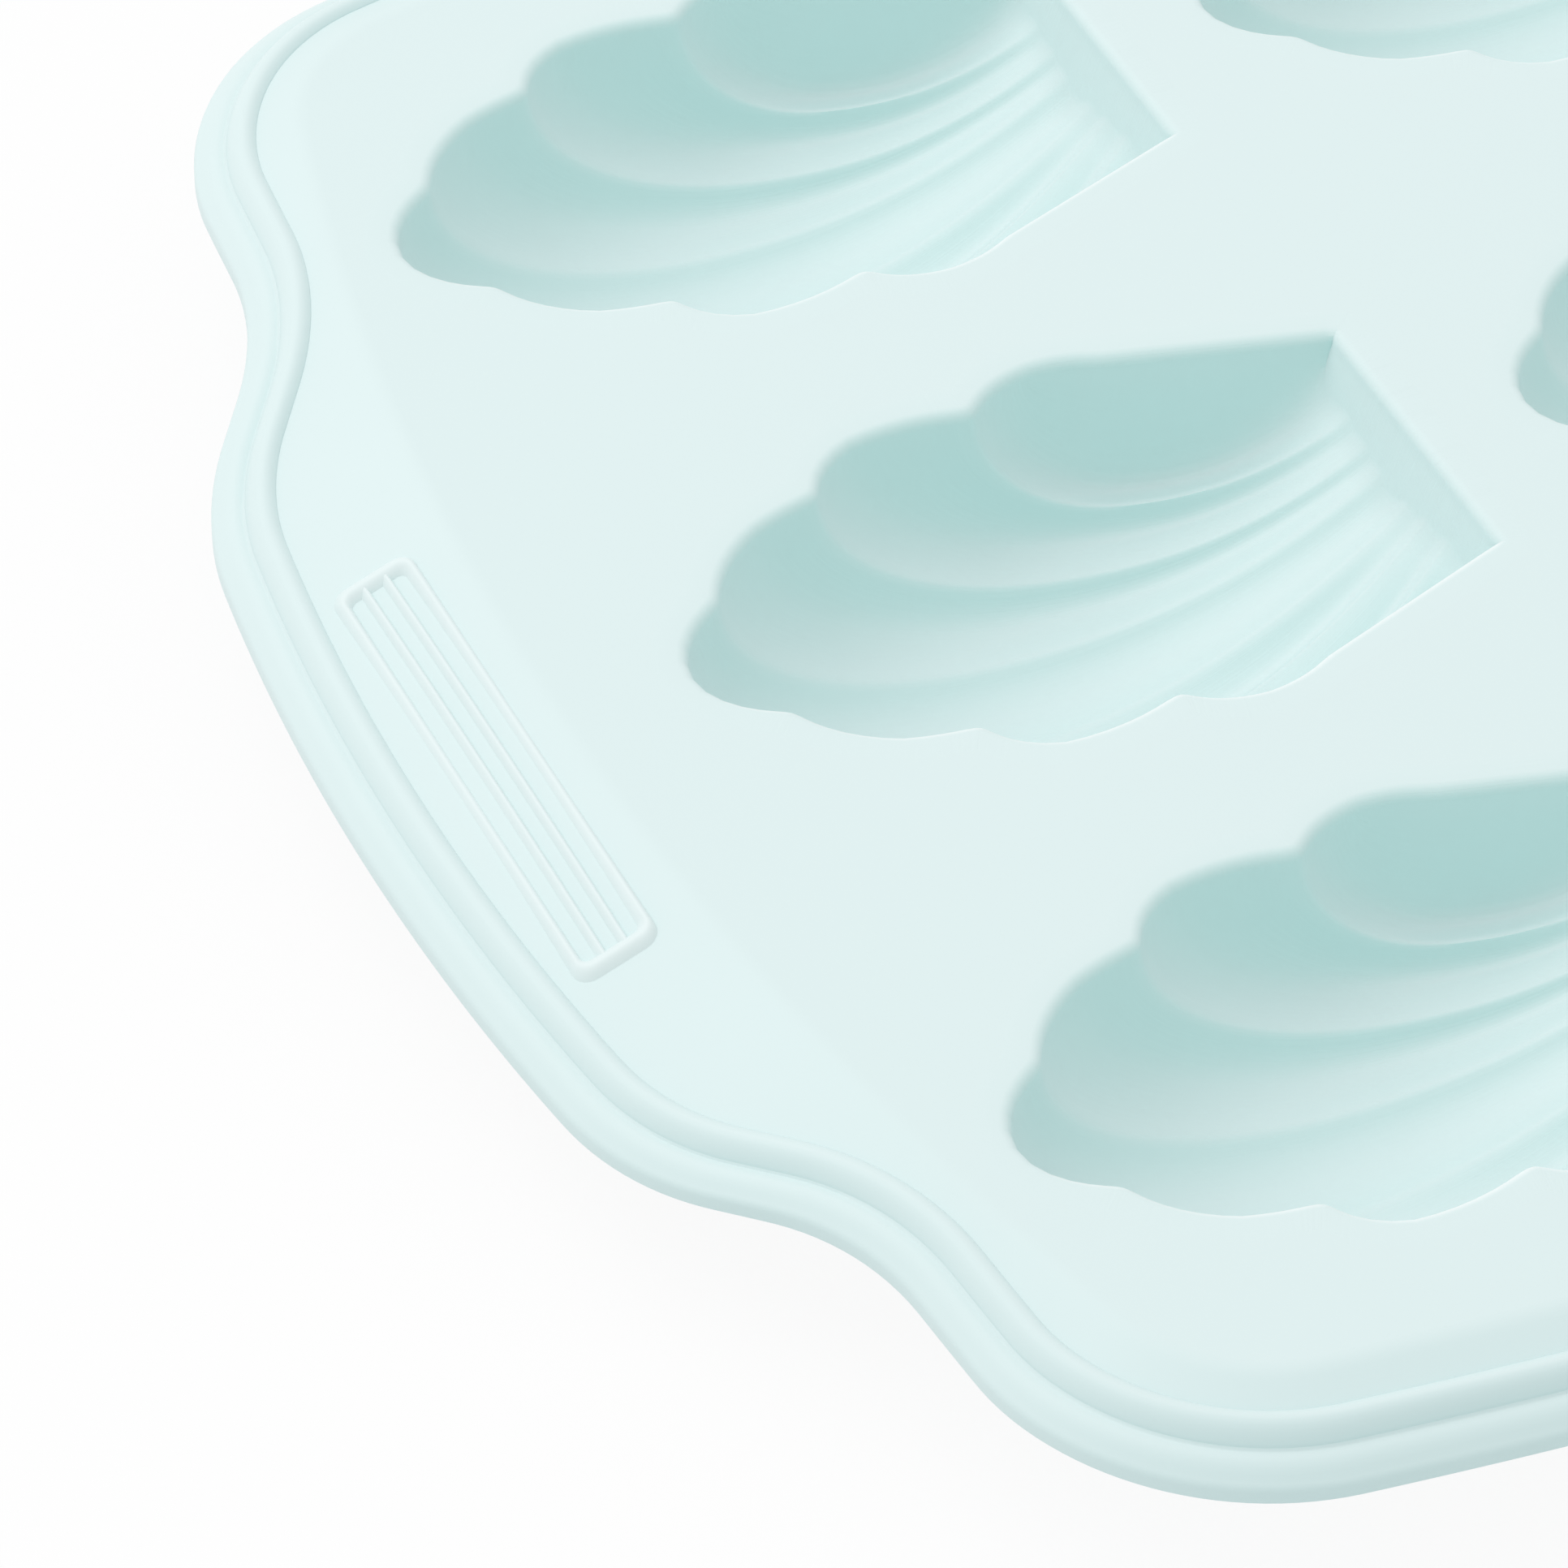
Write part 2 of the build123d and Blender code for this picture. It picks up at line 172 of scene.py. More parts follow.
def mouth_lines():
    """The tip's outline column by column, and the side line row by row."""
    half = [arc(*row) for row in mouth_arcs]
    x, y = mouth_arcs[0][0]
    tip = arc((x, -y), (tip_share, 0), (x, y))
    lobes = [tip, np.concatenate(half[0:2]), np.concatenate(half[2:4]), half[4]]
    shares = (across_flute() + 1) / 2
    right = [run_along(lobe * cup_size, shares) for lobe in lobes]
    left = [line[::-1] * (1, -1) for line in right[:0:-1]]
    columns = np.concatenate([line[:-1] for line in left + right] + [right[-1][-1:]])
    side = np.concatenate([[corner_share], half[5][::-1]])
    return evened(columns, cusp_round), run_along(side * cup_size, cup_rows())


def mouth_border():
    """Mouth outline as a closed loop: end wall, side, tip and the other side."""
    tip, side = mouth_lines()
    foot = wall_places()
    wall = np.stack([np.full(len(foot), cup_size[0] / 2), foot], 1)
    return np.concatenate([wall[:-1], side[:-1], tip[::-1], (side * (1, -1))[-2:0:-1]])


def ring_outside(border, out):
    """Loop at a distance outside the mouth's border, its corners rounded."""
    return border + outward(border, edge_reach + abs(out)) * out


def wall_places():
    """Places of all columns along the foot of the end wall."""
    ridges = np.array([row[0] for row in ridge_rows] + [corner_share[1]]) * cup_size[1]
    ends = np.concatenate([-ridges[::-1], ridges])
    shares = (across_flute()[:-1] + 1) / 2
    flutes = [low + (high - low) * shares for low, high in zip(ends[:-1], ends[1:])]
    return np.concatenate(flutes + [ends[-1:]])


def sides_of(ring):
    """End wall, right side, tip and left side of a ring round the mouth, each in
    the order of the cup's columns or rows, with the corners in both."""
    columns, rows = len(wall_places()), len(cup_rows())
    looped = np.concatenate([ring, ring[:1]])
    wall, right = looped[:columns], looped[columns - 1 : columns + rows - 1]
    tip, left = np.split(looped[columns + rows - 2 :], [columns])
    left = np.concatenate([tip[-1:], left])
    return wall, right, tip[::-1], left[::-1]


def flute_depths(rows, wall_line, tip_line):
    """Depths of the flutes between the end wall and the tip, row by row."""
    outermost = len(ridge_rows)
    places = across_flute()
    depths = []
    for flute in range(-outermost, outermost + 1):
        trough = run_depth(rows, *flute_rows[abs(flute)])
        first = (flute + outermost) * flute_cells
        last = first + flute_cells
        at_wall = np.hypot(*(wall_line[last] - wall_line[first])) / 2
        at_tip = np.hypot(*(tip_line[last] - tip_line[first])) / 2
        crest = np.clip(ridge_round / (at_wall * (1 - rows) + at_tip * rows), *crest_shares)
        for place in places[: flute_cells if flute < outermost else flute_cells + 1]:
            outer = flute == 0 or (place > 0) == (flute > 0)
            ridge_index = abs(flute) - (0 if outer else 1)
            if ridge_index < outermost:
                ridge = run_depth(rows, *ridge_rows[ridge_index][1:])
                share = hollow(place, flute_round, crest)
            else:
                ridge = 0 * rows
                share = hollow(place, 1, no_crest)
            depths.append(ridge + (trough - ridge) * share)
    return np.array(depths).T


def with_rim(skin, rings, levels):
    """Grid of a cup's skin with the rings of its rim laid round it."""
    extra = len(levels) - 1
    last_row, last_column = skin.shape[0] - 1, skin.shape[1] - 1
    i, j = np.meshgrid(np.arange(last_row + 1), np.arange(last_column + 1), indexing="ij")
    i, j = np.pad(i, extra, mode="edge"), np.pad(j, extra, mode="edge")

    # place along a ring of the border point that each point lies next to
    down = np.maximum(i - wall_rows, 0)
    tip_end = 2 * last_column + last_row - wall_rows
    place = np.where(i == 0, j, np.where(j == last_column, last_column + down, 0))
    place = np.where(i == last_row, tip_end - j, place)
    left_side = (j == 0) & (i > 0) & (i < last_row)
    place = np.where(left_side, (len(rings[0]) - down) % len(rings[0]), place)

    full = skin[i, j]
    outside_i = np.abs(np.arange(full.shape[0])[:, None] - extra - i)
    outside_j = np.abs(np.arange(full.shape[1])[None, :] - extra - j)
    out = np.maximum(outside_i, outside_j)
    for level in range(1, extra + 1):
        here = out == level
        full[here, :2] = rings[level][place[here]]
        full[here, 2] = levels[level][1]
    return full


def cup_skin(wall, lip, levels):
    """Points of one skin of a cup as rows and columns, end wall first. wall is
    how far it lies under the cup's face, lip how deep its border is, and levels
    gives how far each ring of its rim stands out from the mouth, and its height."""
    border = mouth_border()
    rings = [ring_outside(border, out) for out, _ in levels]
    top, right, tip, left = sides_of(rings[0])
    rows = cup_rows()
    depth = np.sqrt((flute_depths(rows, top, tip) + wall) ** 2 + lip**2 - wall**2)

    # the rows run from the leaning end wall to the tip, and the outer flutes
    # follow the mouth's sides
    foot = wall_places()
    start = top - np.stack([(depth[0] - lip) * end_wall_slope, 0 * foot], 1)
    share = rows[:, None, None]
    plan = start * (1 - share) + tip * share
    outer_ridge = ridge_rows[-1][0] * cup_size[1]
    lean = np.clip((np.abs(foot) - outer_ridge) / (foot[-1] - outer_ridge), 0, 1)
    plan += np.where(foot > 0, lean, 0)[None, :, None] * (right - plan[:, -1])[:, None]
    plan += np.where(foot < 0, lean, 0)[None, :, None] * (left - plan[:, 0])[:, None]
    floor = np.concatenate([plan, np.maximum(-depth, -deck_height)[..., None]], 2)

    rise = np.linspace(0, 1, wall_rows, endpoint=False)[:, None, None]
    brow = np.concatenate([top, np.full((len(top), 1), -lip)], 1)
    skin = np.concatenate([brow * (1 - rise) + floor[0] * rise, floor])
    return with_rim(skin, rings, levels)


def quarter_round(start, radius, top):
    """Rim rings of a quarter-round: how far out each stands, and its height."""
    turns = np.linspace(0, math.pi / 2, roll_rows + 1)
    return [(start + radius * (1 - math.cos(t)), top - radius + radius * math.sin(t)) for t in turns]


def shaped_grid(name, points):
    """Grid primitive whose vertices are set to points, row by row."""
    rows, columns = points.shape[:2]
    bpy.ops.object.select_all(action="DESELECT")
    bpy.ops.mesh.primitive_grid_add(x_subdivisions=columns - 1, y_subdivisions=rows - 1, size=2)
    piece = bpy.context.object
    piece.name = name
    flat = np.empty(len(piece.data.vertices) * 3)
    piece.data.vertices.foreach_get("co", flat)
    place = np.rint((flat.reshape(-1, 3) + 1) / 2 * (columns - 1, rows - 1, 1)).astype(int)
    piece.data.vertices.foreach_set("co", (points[place[:, 1], place[:, 0]] * MM).ravel())
    return piece


def joined(name, pieces):
    """Pieces joined to one, with their common points merged and normals out."""
    bpy.ops.object.select_all(action="DESELECT")
    for piece in pieces:
        piece.select_set(True)
    bpy.context.view_layer.objects.active = pieces[0]
    bpy.ops.object.join()
    whole = bpy.context.object
    whole.name = name
    bpy.ops.object.mode_set(mode="EDIT")
    bpy.ops.mesh.select_all(action="SELECT")
    bpy.ops.mesh.remove_doubles(threshold=merge_reach)
    bpy.ops.mesh.select_all(action="SELECT")
    bpy.ops.mesh.normals_make_consistent(inside=False)
    bpy.ops.object.mode_set(mode="OBJECT")
    bpy.ops.object.shade_smooth_by_angle(angle=math.radians(50))
    return whole


collar = cup_wall + root_radius
upper_levels = quarter_round(-lip_radius / 2, lip_radius, 0) + [(collar, 0), (collar, -deck_wall)]
lower_levels = quarter_round(cup_wall, root_radius, -deck_wall)
upper = shaped_grid("cup_upper", cup_skin(0.0, lip_radius, upper_levels))
lower = shaped_grid("cup_lower", cup_skin(cup_wall, deck_wall + root_radius, lower_levels))
cup = joined("cup", [upper, lower])


def copy_of(piece, name, x, y):
    """Copy with a mesh of its own, moved in the mesh so that the object stays."""
    bpy.ops.object.select_all(action="DESELECT")
    piece.select_set(True)
    bpy.context.view_layer.objects.active = piece
    bpy.ops.object.duplicate()
    copy = bpy.context.object
    copy.name = name
    copy.location = (x * MM, y * MM, deck_height * MM)
    bpy.ops.object.transform_apply(location=True, rotation=False, scale=False)
    return copy


cups = {}
for row, row_name in enumerate(("front", "middle", "back")):
    for column, column_name in enumerate(("left", "centre", "right")):
        name = f"cup_{row_name}_{column_name}"
        place = ((column - 1) * column_pitch, (row - 1) * row_pitch)
        cups[name] = (copy_of(cup, f"shell_{row_name}_{column_name}", *place), place)
bpy.data.objects.remove(cup)


from_light = (-0.15, -0.99, 0)


def silicone_of(name, tone, shaded):
    """Satin silicone, whose tone goes over to a deeper one on what turns its
    back to the light."""
    material = bpy.data.materials.new(name)
    material.use_nodes = True
    nodes, links = material.node_tree.nodes, material.node_tree.links
    shader = nodes["Principled BSDF"]
    shader.inputs["IOR"].default_value = 1.41
    place = nodes.new("ShaderNodeTexCoord")
    facing = nodes.new("ShaderNodeNewGeometry")
    turned = nodes.new("ShaderNodeVectorMath")
    turned.operation = "DOT_PRODUCT"
    turned.inputs[1].default_value = from_light
    tones = nodes.new("ShaderNodeMix")
    tones.name = "Tones"
    tones.data_type = "RGBA"
    tones.inputs["A"].default_value = tone
    tones.inputs["B"].default_value = shaded
    links.new(facing.outputs["Normal"], turned.inputs[0])
    links.new(turned.outputs["Value"], tones.inputs["Factor"])
    links.new(tones.outputs["Result"], shader.inputs["Base Color"])

    haze = nodes.new("ShaderNodeTexNoise")
    haze.inputs["Scale"].default_value = 60
    sheen = nodes.new("ShaderNodeMapRange")
    sheen.inputs["To Min"].default_value = 0.42
    sheen.inputs["To Max"].default_value = 0.56
    grain = nodes.new("ShaderNodeTexNoise")
    grain.inputs["Scale"].default_value = 1400
    grain.inputs["Detail"].default_value = 2
    bump = nodes.new("ShaderNodeBump")
    bump.inputs["Strength"].default_value = 0.12
    bump.inputs["Distance"].default_value = 0.05 * MM
    links.new(place.outputs["Object"], haze.inputs["Vector"])
    links.new(haze.outputs["Fac"], sheen.inputs["Value"])
    links.new(sheen.outputs["Result"], shader.inputs["Roughness"])
    links.new(place.outputs["Object"], grain.inputs["Vector"])
    links.new(grain.outputs["Fac"], bump.inputs["Height"])
    links.new(bump.outputs["Normal"], shader.inputs["Normal"])
    return material


# the shaded tones are painted shade on what turns from the light; the cups' deeper one is painted
# shade inside the hollows
silicone = silicone_of("silicone", tone=(0.74, 0.868, 0.868, 1), shaded=(0.64, 0.82, 0.82, 1))
silicone_cup = silicone_of("silicone_cup", tone=(0.74, 0.87, 0.87, 1), shaded=(0.595, 0.828, 0.812, 1))
# the bars are painted in a paler tone than the rest of the moulding, a painted highlight on their tops
silicone_bar_painted_light = silicone_of("silicone_bar_painted_light", tone=(0.80, 0.90, 0.90, 1), shaded=(0.76, 0.88, 0.88, 1))

# a thin pale line painted on the near edge of each mouth, a painted highlight where light comes
# through the thin edge
nodes, links = silicone_cup.node_tree.nodes, silicone_cup.node_tree.links
shader = nodes["Principled BSDF"]
heights = nodes.new("ShaderNodeSeparateXYZ")
on_lip = nodes.new("ShaderNodeMapRange")
on_lip.inputs["From Min"].default_value = (deck_height - lip_radius) * MM
on_lip.inputs["From Max"].default_value = (deck_height - lip_radius / 2) * MM
directions = nodes.new("ShaderNodeSeparateXYZ")
away = nodes.new("ShaderNodeMapRange")
away.inputs["From Min"].default_value = 0.15
away.inputs["From Max"].default_value = 0.6
lit = nodes.new("ShaderNodeMath")
lit.operation = "MULTIPLY"
painted_highlight = nodes.new("ShaderNodeMix")
painted_highlight.data_type = "RGBA"
painted_highlight.inputs["B"].default_value = (0.93, 0.98, 0.98, 1)
links.new(nodes["Texture Coordinate"].outputs["Object"], heights.inputs["Vector"])
links.new(heights.outputs["Z"], on_lip.inputs["Value"])
links.new(nodes["Geometry"].outputs["Normal"], directions.inputs["Vector"])
links.new(directions.outputs["Y"], away.inputs["Value"])
links.new(on_lip.outputs["Result"], lit.inputs[0])
links.new(away.outputs["Result"], lit.inputs[1])
links.new(lit.outputs["Value"], painted_highlight.inputs["Factor"])
links.new(nodes["Tones"].outputs["Result"], painted_highlight.inputs["A"])
links.new(painted_highlight.outputs["Result"], shader.inputs["Base Color"])

# faint lines that the mill left in the mould, along the flutes
skin_map = nodes.new("ShaderNodeUVMap")
skin_map.uv_map = "UVMap"
map_parts = nodes.new("ShaderNodeSeparateXYZ")
fine = nodes.new("ShaderNodeMath")
fine.operation = "MULTIPLY"
fine.inputs[1].default_value = 260
long = nodes.new("ShaderNodeMath")
long.operation = "MULTIPLY"
long.inputs[1].default_value = 3
stretched = nodes.new("ShaderNodeCombineXYZ")
mill = nodes.new("ShaderNodeTexNoise")
mill.inputs["Scale"].default_value = 1
mill.inputs["Detail"].default_value = 1
mill_bump = nodes.new("ShaderNodeBump")
mill_bump.inputs["Strength"].default_value = 0.25
mill_bump.inputs["Distance"].default_value = 0.1 * MM
links.new(skin_map.outputs["UV"], map_parts.inputs["Vector"])
links.new(map_parts.outputs["X"], fine.inputs[0])
links.new(map_parts.outputs["Y"], long.inputs[0])
links.new(fine.outputs["Value"], stretched.inputs["X"])
links.new(long.outputs["Value"], stretched.inputs["Y"])
links.new(stretched.outputs["Vector"], mill.inputs["Vector"])
links.new(mill.outputs["Fac"], mill_bump.inputs["Height"])
links.new(nodes["Bump"].outputs["Normal"], mill_bump.inputs["Normal"])
links.new(mill_bump.outputs["Normal"], shader.inputs["Normal"])


def dressed(piece, material, slot, *nodes):
    """Gives a piece its material and lets it stand for its nodes. The slot is not used."""
    piece.data.materials.clear()
    piece.data.materials.append(material)
    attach(piece, "root")
    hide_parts(*nodes)


for name, (piece, _) in cups.items():
    dressed(piece, silicone_cup, "silicone", name)

# Deck: the flat top of the same moulding, 2 mm thick, between the cups' collars
# and the crease where the slope starts. Its border has a point for each station
# of the rim, so that it meets the slope's first row without a slit.
crease_half = 0.8
deck_length = 250.2
deck_width = 192.0
deck_end_bow = 282.0
long_bow = 650.0
deck_corner = 15.0
flat_room = 0.1
same_height = 0.01

pan_length = 286.0
body_length = 258.0
body_width = 210.6
body_side_bow = 620.0
handle_bow = 244.0
handle_root = 55.0
handle_side = math.radians(38.5)
shoulder_radius = 30.0
notch_radius = 28.0
body_corner = 26.0
bead_span = 2.7
flange_span = 2.9
station_step = 1.25
edge_evening = 0.8

# fine points on an arc: their turn in degrees at a radius of 1 mm, and how many
# there may be; how far apart two points have to be, and the slack of an angle
fine_turn = 12
fine_points = (8, 240)
least_step = 1e-4
angle_slack = 1e-6


def point_off(bow, blend, other):
    """Point to the right that lies the blend's radius inside two bows, or
    outside them where that radius is below zero."""
    (x0, y0, r0), (x1, y1, r1) = bow, other
    r0, r1 = r0 - blend, r1 - blend
    apart = math.hypot(x1 - x0, y1 - y0)
    along = (r0 * r0 - r1 * r1 + apart * apart) / (2 * apart)
    off = math.sqrt(r0 * r0 - along * along)
    ux, uy = (x1 - x0) / apart, (y1 - y0) / apart
    pair = [(x0 + along * ux - k * off * uy, y0 + along * uy + k * off * ux) for k in (-1, 1)]
    return max(pair)


def quarter_arcs(bows, blends):
    """Arcs of an outline's first quarter, from its end to its side, as centre,
    radius and angles. bows are its long arcs and blends the radii between them,
    below zero where the outline is hollow."""
    arcs = []
    start = 0.0
    for bow, blend, other in zip(bows, blends, bows[1:]):
        x, y = point_off(bow, blend, other)
        end = math.degrees(math.atan2(y - bow[1], x - bow[0]))
        arcs.append((*bow, start, end))
        start = math.degrees(math.atan2(y - other[1], x - other[0]))
        turn = 0 if blend > 0 else 180
        arcs.append((x, y, abs(blend), end + turn, start + turn))
    return arcs + [(*bows[-1], start, 90.0)]


def bows_of(length, width, end_bow, side_bow):
    """Bows at the end and the side of a rectangle with bowed sides."""
    return [(length / 2 - end_bow, 0.0, end_bow), (0.0, width / 2 - side_bow, side_bow)]


def whole_outline(quarter, spacing):
    """Closed outline from the arcs of its first quarter, each given as centre,
    radius and angles, at even steps of about the spacing."""
    runs = []
    for x, y, radius, start, end in quarter:
        count = np.clip(int(abs(end - start) * radius / fine_turn), *fine_points)
        angle = np.radians(np.linspace(start, end, count))
        runs.append(np.stack([x + radius * np.cos(angle), y + radius * np.sin(angle)], 1))
    line = np.concatenate(runs)
    line = line[np.concatenate([[True], np.hypot(*np.diff(line, axis=0).T) > least_step])]
    steps = int(np.hypot(*np.diff(line, axis=0).T).sum() / spacing)
    line = run_along(line, np.linspace(0, 1, steps + 1))
    half = np.concatenate([line, (line * (-1, 1))[-2::-1]])
    return np.concatenate([half, (half * (1, -1))[-2:0:-1]])


def flat_plate(name, loops):
    """Flat mesh inside the first loop and outside the others, at the deck's height."""
    curve = bpy.data.curves.new(name, "CURVE")
    curve.dimensions = "2D"
    curve.fill_mode = "BOTH"
    for loop in loops:
        spline = curve.splines.new("POLY")
        spline.points.add(len(loop) - 1)
        for point, (x, y) in zip(spline.points, loop):
            point.co = (x * MM, y * MM, 0, 1)
        spline.use_cyclic_u = True
    plate = bpy.data.objects.new(name, curve)
    bpy.context.scene.collection.objects.link(plate)
    bpy.ops.object.select_all(action="DESELECT")
    plate.select_set(True)
    bpy.context.view_layer.objects.active = plate
    bpy.ops.object.convert(target="MESH")
    plate.location.z = deck_height * MM
    bpy.ops.object.transform_apply(location=True, rotation=False, scale=False)
    return plate


def thickened(plate, thickness):
    """Extrudes a flat plate along Z to a closed solid."""
    bpy.ops.object.mode_set(mode="EDIT")
    bpy.ops.mesh.select_all(action="SELECT")
    bpy.ops.mesh.remove_doubles(threshold=merge_reach)
    bpy.ops.mesh.extrude_region_move(TRANSFORM_OT_translate={"value": (0, 0, thickness * MM)})
    bpy.ops.mesh.select_all(action="SELECT")
    bpy.ops.mesh.normals_make_consistent(inside=False)
    bpy.ops.object.mode_set(mode="OBJECT")
    bpy.ops.object.shade_smooth_by_angle(angle=math.radians(30))


def unrepeated(loop):
    """Loop without points that repeat the one before."""
    return loop[np.hypot(*(loop - np.roll(loop, 1, 0)).T) > least_step]


def nearest_on_deck(points):
    """Nearest points of the deck's outline, from the arc that each lies outside."""
    near = np.zeros_like(points)
    corner = np.abs(points)
    for x, y, radius, start, end in deck_arcs:
        away = corner - (x, y)
        angle = np.degrees(np.arctan2(away[:, 1], away[:, 0]))
        here = (angle >= start - angle_slack) & (angle <= end + angle_slack)
        near[here] = (np.array([x, y]) + away / np.hypot(*away.T)[:, None] * radius)[here]
    return near * np.where(points < 0, -1, 1)


# the handle's straight side is an arc so large that it bends by nothing
straight = 1e5
handle_line = (
    body_length / 2 - straight * math.cos(handle_side),
    handle_root - straight * math.sin(handle_side),
    straight,
)
deck_arcs = quarter_arcs(bows_of(deck_length, deck_width, deck_end_bow, long_bow), [deck_corner])
edge_arcs = quarter_arcs(
    [(pan_length / 2 - handle_bow, 0.0, handle_bow), handle_line]
    + bows_of(body_length, body_width, long_bow, body_side_bow),
    [shoulder_radius, -notch_radius, body_corner],
)

# stations of the rim: its edge, the bead's foot and the deck's side next to it
edge = whole_outline(edge_arcs, station_step)
edge_out = outward(edge, edge_evening)
foot = edge - edge_out * (bead_span + flange_span)
deck_side = nearest_on_deck(foot)
fall = np.hypot(*(foot - deck_side).T)
downhill = (foot - deck_side) / fall[:, None]


def kept_on_flat(points):
    """Plan points, with those past the right end of the flat moved back to it."""
    end = deck_length / 2 - deck_end_bow + np.sqrt(deck_end_bow**2 - points[:, 1] ** 2)
    return np.stack([np.minimum(points[:, 0], end - crease_half - flat_room), points[:, 1]], 1)


# the collars of the outer cups on the right are cut back beside the crease,
# which comes close to their corners
for piece, _ in cups.values():
    skin = np.empty(len(piece.data.vertices) * 3)
    piece.data.vertices.foreach_get("co", skin)
    skin = skin.reshape(-1, 3)
    on_deck = skin[:, 2] > (deck_height - deck_wall - same_height) * MM
    skin[on_deck, :2] = kept_on_flat(skin[on_deck, :2] / MM) * MM
    piece.data.vertices.foreach_set("co", skin.ravel())

collar_loop = ring_outside(mouth_border(), collar)
deck_border = unrepeated(deck_side - downhill * crease_half)
holes = [unrepeated(kept_on_flat(collar_loop + place)) for _, place in cups.values()]
deck = flat_plate("deck_plate", [deck_border] + holes)
thickened(deck, -deck_wall)
dressed(deck, silicone, "silicone", "deck")

# Aprons and handles: the moulding slopes down evenly all round the deck, in a
# narrow apron at the front and back and a wide lug to hold it by at each end.
# A rounded crease joins the slope to the deck.
slope = math.tan(math.radians(20.5))
handle_half = 62.0
crease_rows = 6
slope_rows = 4


def rings_of(profile):
    """Rings of points from pairs of plan points and their heights."""
    heights = [np.broadcast_to(height, len(plan)) for plan, height in profile]
    return np.concatenate([[plan for plan, _ in profile], np.array(heights)[..., None]], 2)


apron_top = []
for away in np.linspace(-crease_half, crease_half, crease_rows):
    bend = (away + crease_half) ** 2 / (4 * crease_half)
    apron_top.append((deck_side + downhill * away, -slope * bend))
for row in range(1, slope_rows + 1):
    away = crease_half + (fall - crease_half) * row / slope_rows
    apron_top.append((deck_side + downhill * away[:, None], -slope * away))
apron_top = rings_of(apron_top)
apron_loop = np.concatenate([apron_top, apron_top[::-1] - (0, 0, deck_wall), apron_top[:1]])
apron_loop[..., 2] += deck_height


def lug(name, node, here):
    """Closed piece of the slope over the stations that are here."""
    first = np.flatnonzero(here & ~np.roll(here, 1))[0]
    shifted = np.roll(apron_loop, -first, axis=1)
    piece = shaped_grid(name, shifted[:, : here.sum() + 1])
    bpy.ops.object.mode_set(mode="EDIT")
    bpy.ops.mesh.select_all(action="SELECT")
    bpy.ops.mesh.remove_doubles(threshold=merge_reach)
    bpy.ops.mesh.select_all(action="DESELECT")
    bpy.ops.mesh.select_mode(type="EDGE")
    bpy.ops.mesh.select_non_manifold()
    bpy.ops.mesh.fill()
    bpy.ops.mesh.select_all(action="SELECT")
    bpy.ops.mesh.normals_make_consistent(inside=False)
    bpy.ops.object.mode_set(mode="OBJECT")
    bpy.ops.object.shade_smooth_by_angle(angle=math.radians(30))
    dressed(piece, silicone, "silicone", node)


by_handle = np.abs(foot[:, 1]) < handle_half
lug("lug_right", "handle_right", by_handle & (foot[:, 0] > 0))
lug("lug_left", "handle_left", by_handle & (foot[:, 0] < 0))
lug("skirt_back", "apron_back", ~by_handle & (foot[:, 1] > 0))
lug("skirt_front", "apron_front", ~by_handle & (foot[:, 1] < 0))

# Bead and flange: the rim's rolled bead and the drooping band outside it, with
# a groove between them and a soft step along the edge. Each profile is given as
# distances outwards and heights, the bead's from its foot.
bead_profile = (
    (0.0, 0.0), (0.1, 0.1), (0.3, 0.29), (0.6, 0.48), (0.95, 0.57), (1.35, 0.52),
    (1.75, 0.3), (2.1, -0.06), (2.4, -0.52), (2.58, -0.93), (2.7, -1.22),
)  # fmt: skip
bead_under = ((2.7, -3.15), (1.35, -2.6), (0.0, -2.0))
groove_drop = 1.22
flange_profile = (
    (0.0, 0.0), (0.15, -0.08), (0.35, 0.04), (0.7, 0.26), (1.15, 0.4), (1.6, 0.42), (2.0, 0.33),
    (2.3, 0.22), (2.5, 0.17), (2.65, 0.13), (2.8, 0.02), (2.9, -0.2),
)  # fmt: skip
flange_under = ((2.9, -1.35), (2.8, -1.47), (2.6, -1.5), (0.0, -1.5))
edge_drop = 0.8
foot_height = -slope * fall
edge_height = -(edge_drop + slope * np.hypot(*(edge - nearest_on_deck(edge)).T))


def hoop_of(name, node, rings):
    """Closed ring piece from its rings of points, which follow its outline."""
    rings = np.concatenate([rings, rings[:1]])
    rings = np.concatenate([rings, rings[:, :1]], axis=1)
    rings[..., 2] += deck_height
    dressed(joined(name, [shaped_grid(name, rings)]), silicone, "silicone", node)


def at_station(out, height):
    """Plan points at a distance outside the bead's foot, and their heights."""
    return foot + edge_out * out, height


bead = [at_station(x, foot_height + z) for x, z in bead_profile + bead_under]
hoop_of("bead", "rim_bead", rings_of(bead))
groove = foot_height - groove_drop
flange = []
for x, z in flange_profile + flange_under:
    share = x / flange_span
    flange.append(at_station(bead_span + x, groove * (1 - share) + edge_height * share + z))
hoop_of("flange", "rim_flange", rings_of(flange))

# Hoop: a ring of steel wire moulded into the bead, which keeps the rim stiff.
# It shows only where the bead is cut open.
wire = bpy.data.materials.new("drawn_wire")
wire.use_nodes = True
nodes, links = wire.node_tree.nodes, wire.node_tree.links
shader = nodes["Principled BSDF"]
shader.inputs["Metallic"].default_value = 1
streak_place = nodes.new("ShaderNodeTexCoord")
streak = nodes.new("ShaderNodeTexNoise")
streak.inputs["Scale"].default_value = 400
streak_tone = nodes.new("ShaderNodeValToRGB")
streak_tone.color_ramp.elements[0].color = (0.45, 0.46, 0.47, 1)
streak_tone.color_ramp.elements[1].color = (0.66, 0.67, 0.68, 1)
streak_rough = nodes.new("ShaderNodeMapRange")
streak_rough.inputs["To Min"].default_value = 0.25
streak_rough.inputs["To Max"].default_value = 0.45
links.new(streak_place.outputs["Object"], streak.inputs["Vector"])
